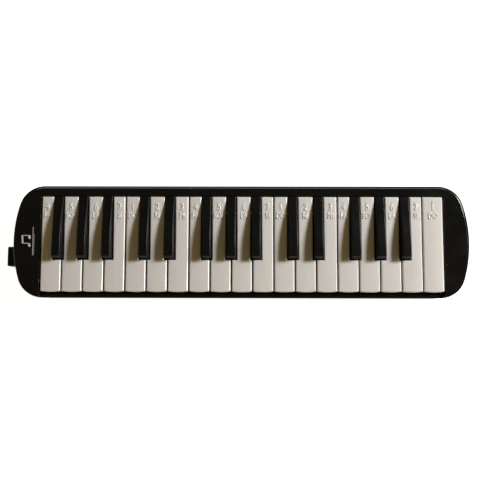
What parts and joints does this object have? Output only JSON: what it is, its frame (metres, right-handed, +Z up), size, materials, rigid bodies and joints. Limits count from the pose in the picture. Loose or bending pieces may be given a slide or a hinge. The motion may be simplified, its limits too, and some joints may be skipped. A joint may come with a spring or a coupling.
{
  "type": "melodica",
  "caption": "Keyboard wind instrument: a flat case with sprung piano keys over a reed chest, blown through a side socket.",
  "frame": {"origin": "centre of the underside of the bounding box, on the face that the instrument rests on", "axes": "+X along the keyboard from bass to treble, -Y the player's side, +Z up out of the keys"},
  "size_m": [0.423, 0.102, 0.048],
  "materials": {
    "case_black": "satin moulded ABS",
    "white_key": "satin gloss",
    "black_key": "satin gloss",
    "screw_steel": "zinc plated",
    "rod_steel": "drawn",
    "seal_rubber": "matt",
    "duct_plastic": "moulded",
    "chest_plastic": "moulded",
    "chassis_plastic": "moulded",
    "gasket_board": "matt",
    "reed_brass": "rolled",
    "reed_bronze": "spring bronze",
    "felt": "pressed felt"
  },
  "bodies": {
    "case": {"upper_case": "case_black", "lower_case": "case_black", "case_screws": "screw_steel", "mouthpiece_socket": "case_black", "socket_seal_ring": "seal_rubber", "air_duct": "duct_plastic", "plenum_tray": "chest_plastic", "chest_gasket": "gasket_board", "chamber_block": "chest_plastic", "reed_plate_bass": "reed_brass", "reed_plate_treble": "reed_brass", "bass_reeds": "reed_bronze", "treble_reeds": "reed_bronze", "reed_rivets": "reed_brass", "reed_plate_screws": "screw_steel", "key_chassis": "chassis_plastic", "chassis_screws": "screw_steel", "key_pivot_rod": "rod_steel", "rod_clips": "rod_steel", "key_springs": "reed_bronze", "front_stop_felt": "felt", "middle_stop_felt": "felt", "drain_spring": "rod_steel"},
    "white_key_f_3": {"white_key_f_3": "white_key"},
    "black_key_f_sharp_3": {"black_key_f_sharp_3": "black_key"},
    "white_key_g_3": {"white_key_g_3": "white_key"},
    "black_key_g_sharp_3": {"black_key_g_sharp_3": "black_key"},
    "white_key_a_3": {"white_key_a_3": "white_key"},
    "black_key_a_sharp_3": {"black_key_a_sharp_3": "black_key"},
    "white_key_b_3": {"white_key_b_3": "white_key"},
    "white_key_c_4": {"white_key_c_4": "white_key"},
    "black_key_c_sharp_4": {"black_key_c_sharp_4": "black_key"},
    "white_key_d_4": {"white_key_d_4": "white_key"},
    "black_key_d_sharp_4": {"black_key_d_sharp_4": "black_key"},
    "white_key_e_4": {"white_key_e_4": "white_key"},
    "white_key_f_4": {"white_key_f_4": "white_key"},
    "black_key_f_sharp_4": {"black_key_f_sharp_4": "black_key"},
    "white_key_g_4": {"white_key_g_4": "white_key"},
    "black_key_g_sharp_4": {"black_key_g_sharp_4": "black_key"},
    "white_key_a_4": {"white_key_a_4": "white_key"},
    "black_key_a_sharp_4": {"black_key_a_sharp_4": "black_key"},
    "white_key_b_4": {"white_key_b_4": "white_key"},
    "white_key_c_5": {"white_key_c_5": "white_key"},
    "black_key_c_sharp_5": {"black_key_c_sharp_5": "black_key"},
    "white_key_d_5": {"white_key_d_5": "white_key"},
    "black_key_d_sharp_5": {"black_key_d_sharp_5": "black_key"},
    "white_key_e_5": {"white_key_e_5": "white_key"},
    "white_key_f_5": {"white_key_f_5": "white_key"},
    "black_key_f_sharp_5": {"black_key_f_sharp_5": "black_key"},
    "white_key_g_5": {"white_key_g_5": "white_key"},
    "black_key_g_sharp_5": {"black_key_g_sharp_5": "black_key"},
    "white_key_a_5": {"white_key_a_5": "white_key"},
    "black_key_a_sharp_5": {"black_key_a_sharp_5": "black_key"},
    "white_key_b_5": {"white_key_b_5": "white_key"},
    "white_key_c_6": {"white_key_c_6": "white_key"},
    "drain_valve": {"drain_button": "chest_plastic", "drain_seal": "seal_rubber"}
  },
  "joints": [
    {"name": "white_key_f_3_hinge", "type": "hinge", "parent": "case", "child": "white_key_f_3", "pos_m": [-0.17145, 0.0266, 0.033], "axis": [1, 0, 0], "range_deg": [0, 3.2], "stiffness_Nm_per_rad": 0.35, "springref_deg": -5.73, "deforming": ["key_springs"]},
    {"name": "black_key_f_sharp_3_hinge", "type": "hinge", "parent": "case", "child": "black_key_f_sharp_3", "pos_m": [-0.161, 0.0266, 0.033], "axis": [1, 0, 0], "range_deg": [0, 3.2], "stiffness_Nm_per_rad": 0.35, "springref_deg": -5.73, "deforming": ["key_springs"]},
    {"name": "white_key_g_3_hinge", "type": "hinge", "parent": "case", "child": "white_key_g_3", "pos_m": [-0.1498, 0.0266, 0.033], "axis": [1, 0, 0], "range_deg": [0, 3.2], "stiffness_Nm_per_rad": 0.35, "springref_deg": -5.73, "deforming": ["key_springs"]},
    {"name": "black_key_g_sharp_3_hinge", "type": "hinge", "parent": "case", "child": "black_key_g_sharp_3", "pos_m": [-0.1386, 0.0266, 0.033], "axis": [1, 0, 0], "range_deg": [0, 3.2], "stiffness_Nm_per_rad": 0.35, "springref_deg": -5.73, "deforming": ["key_springs"]},
    {"name": "white_key_a_3_hinge", "type": "hinge", "parent": "case", "child": "white_key_a_3", "pos_m": [-0.1274, 0.0266, 0.033], "axis": [1, 0, 0], "range_deg": [0, 3.2], "stiffness_Nm_per_rad": 0.35, "springref_deg": -5.73, "deforming": ["key_springs"]},
    {"name": "black_key_a_sharp_3_hinge", "type": "hinge", "parent": "case", "child": "black_key_a_sharp_3", "pos_m": [-0.1162, 0.0266, 0.033], "axis": [1, 0, 0], "range_deg": [0, 3.2], "stiffness_Nm_per_rad": 0.35, "springref_deg": -5.73, "deforming": ["key_springs"]},
    {"name": "white_key_b_3_hinge", "type": "hinge", "parent": "case", "child": "white_key_b_3", "pos_m": [-0.10575, 0.0266, 0.033], "axis": [1, 0, 0], "range_deg": [0, 3.2], "stiffness_Nm_per_rad": 0.35, "springref_deg": -5.73, "deforming": ["key_springs"]},
    {"name": "white_key_c_4_hinge", "type": "hinge", "parent": "case", "child": "white_key_c_4", "pos_m": [-0.094, 0.0266, 0.033], "axis": [1, 0, 0], "range_deg": [0, 3.2], "stiffness_Nm_per_rad": 0.35, "springref_deg": -5.73, "deforming": ["key_springs"]},
    {"name": "black_key_c_sharp_4_hinge", "type": "hinge", "parent": "case", "child": "black_key_c_sharp_4", "pos_m": [-0.0829, 0.0266, 0.033], "axis": [1, 0, 0], "range_deg": [0, 3.2], "stiffness_Nm_per_rad": 0.35, "springref_deg": -5.73, "deforming": ["key_springs"]},
    {"name": "white_key_d_4_hinge", "type": "hinge", "parent": "case", "child": "white_key_d_4", "pos_m": [-0.0714, 0.0266, 0.033], "axis": [1, 0, 0], "range_deg": [0, 3.2], "stiffness_Nm_per_rad": 0.35, "springref_deg": -5.73, "deforming": ["key_springs"]},
    {"name": "black_key_d_sharp_4_hinge", "type": "hinge", "parent": "case", "child": "black_key_d_sharp_4", "pos_m": [-0.0599, 0.0266, 0.033], "axis": [1, 0, 0], "range_deg": [0, 3.2], "stiffness_Nm_per_rad": 0.35, "springref_deg": -5.73, "deforming": ["key_springs"]},
    {"name": "white_key_e_4_hinge", "type": "hinge", "parent": "case", "child": "white_key_e_4", "pos_m": [-0.0488, 0.0266, 0.033], "axis": [1, 0, 0], "range_deg": [0, 3.2], "stiffness_Nm_per_rad": 0.35, "springref_deg": -5.73, "deforming": ["key_springs"]},
    {"name": "white_key_f_4_hinge", "type": "hinge", "parent": "case", "child": "white_key_f_4", "pos_m": [-0.03705, 0.0266, 0.033], "axis": [1, 0, 0], "range_deg": [0, 3.2], "stiffness_Nm_per_rad": 0.35, "springref_deg": -5.73, "deforming": ["key_springs"]},
    {"name": "black_key_f_sharp_4_hinge", "type": "hinge", "parent": "case", "child": "black_key_f_sharp_4", "pos_m": [-0.0266, 0.0266, 0.033], "axis": [1, 0, 0], "range_deg": [0, 3.2], "stiffness_Nm_per_rad": 0.35, "springref_deg": -5.73, "deforming": ["key_springs"]},
    {"name": "white_key_g_4_hinge", "type": "hinge", "parent": "case", "child": "white_key_g_4", "pos_m": [-0.0154, 0.0266, 0.033], "axis": [1, 0, 0], "range_deg": [0, 3.2], "stiffness_Nm_per_rad": 0.35, "springref_deg": -5.73, "deforming": ["key_springs"]},
    {"name": "black_key_g_sharp_4_hinge", "type": "hinge", "parent": "case", "child": "black_key_g_sharp_4", "pos_m": [-0.0042, 0.0266, 0.033], "axis": [1, 0, 0], "range_deg": [0, 3.2], "stiffness_Nm_per_rad": 0.35, "springref_deg": -5.73, "deforming": ["key_springs"]},
    {"name": "white_key_a_4_hinge", "type": "hinge", "parent": "case", "child": "white_key_a_4", "pos_m": [0.007, 0.0266, 0.033], "axis": [1, 0, 0], "range_deg": [0, 3.2], "stiffness_Nm_per_rad": 0.35, "springref_deg": -5.73, "deforming": ["key_springs"]},
    {"name": "black_key_a_sharp_4_hinge", "type": "hinge", "parent": "case", "child": "black_key_a_sharp_4", "pos_m": [0.0182, 0.0266, 0.033], "axis": [1, 0, 0], "range_deg": [0, 3.2], "stiffness_Nm_per_rad": 0.35, "springref_deg": -5.73, "deforming": ["key_springs"]},
    {"name": "white_key_b_4_hinge", "type": "hinge", "parent": "case", "child": "white_key_b_4", "pos_m": [0.02865, 0.0266, 0.033], "axis": [1, 0, 0], "range_deg": [0, 3.2], "stiffness_Nm_per_rad": 0.35, "springref_deg": -5.73, "deforming": ["key_springs"]},
    {"name": "white_key_c_5_hinge", "type": "hinge", "parent": "case", "child": "white_key_c_5", "pos_m": [0.0404, 0.0266, 0.033], "axis": [1, 0, 0], "range_deg": [0, 3.2], "stiffness_Nm_per_rad": 0.35, "springref_deg": -5.73, "deforming": ["key_springs"]},
    {"name": "black_key_c_sharp_5_hinge", "type": "hinge", "parent": "case", "child": "black_key_c_sharp_5", "pos_m": [0.0515, 0.0266, 0.033], "axis": [1, 0, 0], "range_deg": [0, 3.2], "stiffness_Nm_per_rad": 0.35, "springref_deg": -5.73, "deforming": ["key_springs"]},
    {"name": "white_key_d_5_hinge", "type": "hinge", "parent": "case", "child": "white_key_d_5", "pos_m": [0.063, 0.0266, 0.033], "axis": [1, 0, 0], "range_deg": [0, 3.2], "stiffness_Nm_per_rad": 0.35, "springref_deg": -5.73, "deforming": ["key_springs"]},
    {"name": "black_key_d_sharp_5_hinge", "type": "hinge", "parent": "case", "child": "black_key_d_sharp_5", "pos_m": [0.0745, 0.0266, 0.033], "axis": [1, 0, 0], "range_deg": [0, 3.2], "stiffness_Nm_per_rad": 0.35, "springref_deg": -5.73, "deforming": ["key_springs"]},
    {"name": "white_key_e_5_hinge", "type": "hinge", "parent": "case", "child": "white_key_e_5", "pos_m": [0.0856, 0.0266, 0.033], "axis": [1, 0, 0], "range_deg": [0, 3.2], "stiffness_Nm_per_rad": 0.35, "springref_deg": -5.73, "deforming": ["key_springs"]},
    {"name": "white_key_f_5_hinge", "type": "hinge", "parent": "case", "child": "white_key_f_5", "pos_m": [0.09735, 0.0266, 0.033], "axis": [1, 0, 0], "range_deg": [0, 3.2], "stiffness_Nm_per_rad": 0.35, "springref_deg": -5.73, "deforming": ["key_springs"]},
    {"name": "black_key_f_sharp_5_hinge", "type": "hinge", "parent": "case", "child": "black_key_f_sharp_5", "pos_m": [0.1078, 0.0266, 0.033], "axis": [1, 0, 0], "range_deg": [0, 3.2], "stiffness_Nm_per_rad": 0.35, "springref_deg": -5.73, "deforming": ["key_springs"]},
    {"name": "white_key_g_5_hinge", "type": "hinge", "parent": "case", "child": "white_key_g_5", "pos_m": [0.119, 0.0266, 0.033], "axis": [1, 0, 0], "range_deg": [0, 3.2], "stiffness_Nm_per_rad": 0.35, "springref_deg": -5.73, "deforming": ["key_springs"]},
    {"name": "black_key_g_sharp_5_hinge", "type": "hinge", "parent": "case", "child": "black_key_g_sharp_5", "pos_m": [0.1302, 0.0266, 0.033], "axis": [1, 0, 0], "range_deg": [0, 3.2], "stiffness_Nm_per_rad": 0.35, "springref_deg": -5.73, "deforming": ["key_springs"]},
    {"name": "white_key_a_5_hinge", "type": "hinge", "parent": "case", "child": "white_key_a_5", "pos_m": [0.1414, 0.0266, 0.033], "axis": [1, 0, 0], "range_deg": [0, 3.2], "stiffness_Nm_per_rad": 0.35, "springref_deg": -5.73, "deforming": ["key_springs"]},
    {"name": "black_key_a_sharp_5_hinge", "type": "hinge", "parent": "case", "child": "black_key_a_sharp_5", "pos_m": [0.1526, 0.0266, 0.033], "axis": [1, 0, 0], "range_deg": [0, 3.2], "stiffness_Nm_per_rad": 0.35, "springref_deg": -5.73, "deforming": ["key_springs"]},
    {"name": "white_key_b_5_hinge", "type": "hinge", "parent": "case", "child": "white_key_b_5", "pos_m": [0.16305, 0.0266, 0.033], "axis": [1, 0, 0], "range_deg": [0, 3.2], "stiffness_Nm_per_rad": 0.35, "springref_deg": -5.73, "deforming": ["key_springs"]},
    {"name": "white_key_c_6_hinge", "type": "hinge", "parent": "case", "child": "white_key_c_6", "pos_m": [0.1745, 0.0266, 0.033], "axis": [1, 0, 0], "range_deg": [0, 3.2], "stiffness_Nm_per_rad": 0.35, "springref_deg": -5.73, "deforming": ["key_springs"]},
    {"name": "drain_valve_slide", "type": "slide", "parent": "case", "child": "drain_valve", "axis": [0, 0, 1], "range_m": [0, 0.002], "stiffness_N_per_m": 300, "springref_m": -0.002, "deforming": ["drain_spring"]}
  ]
}
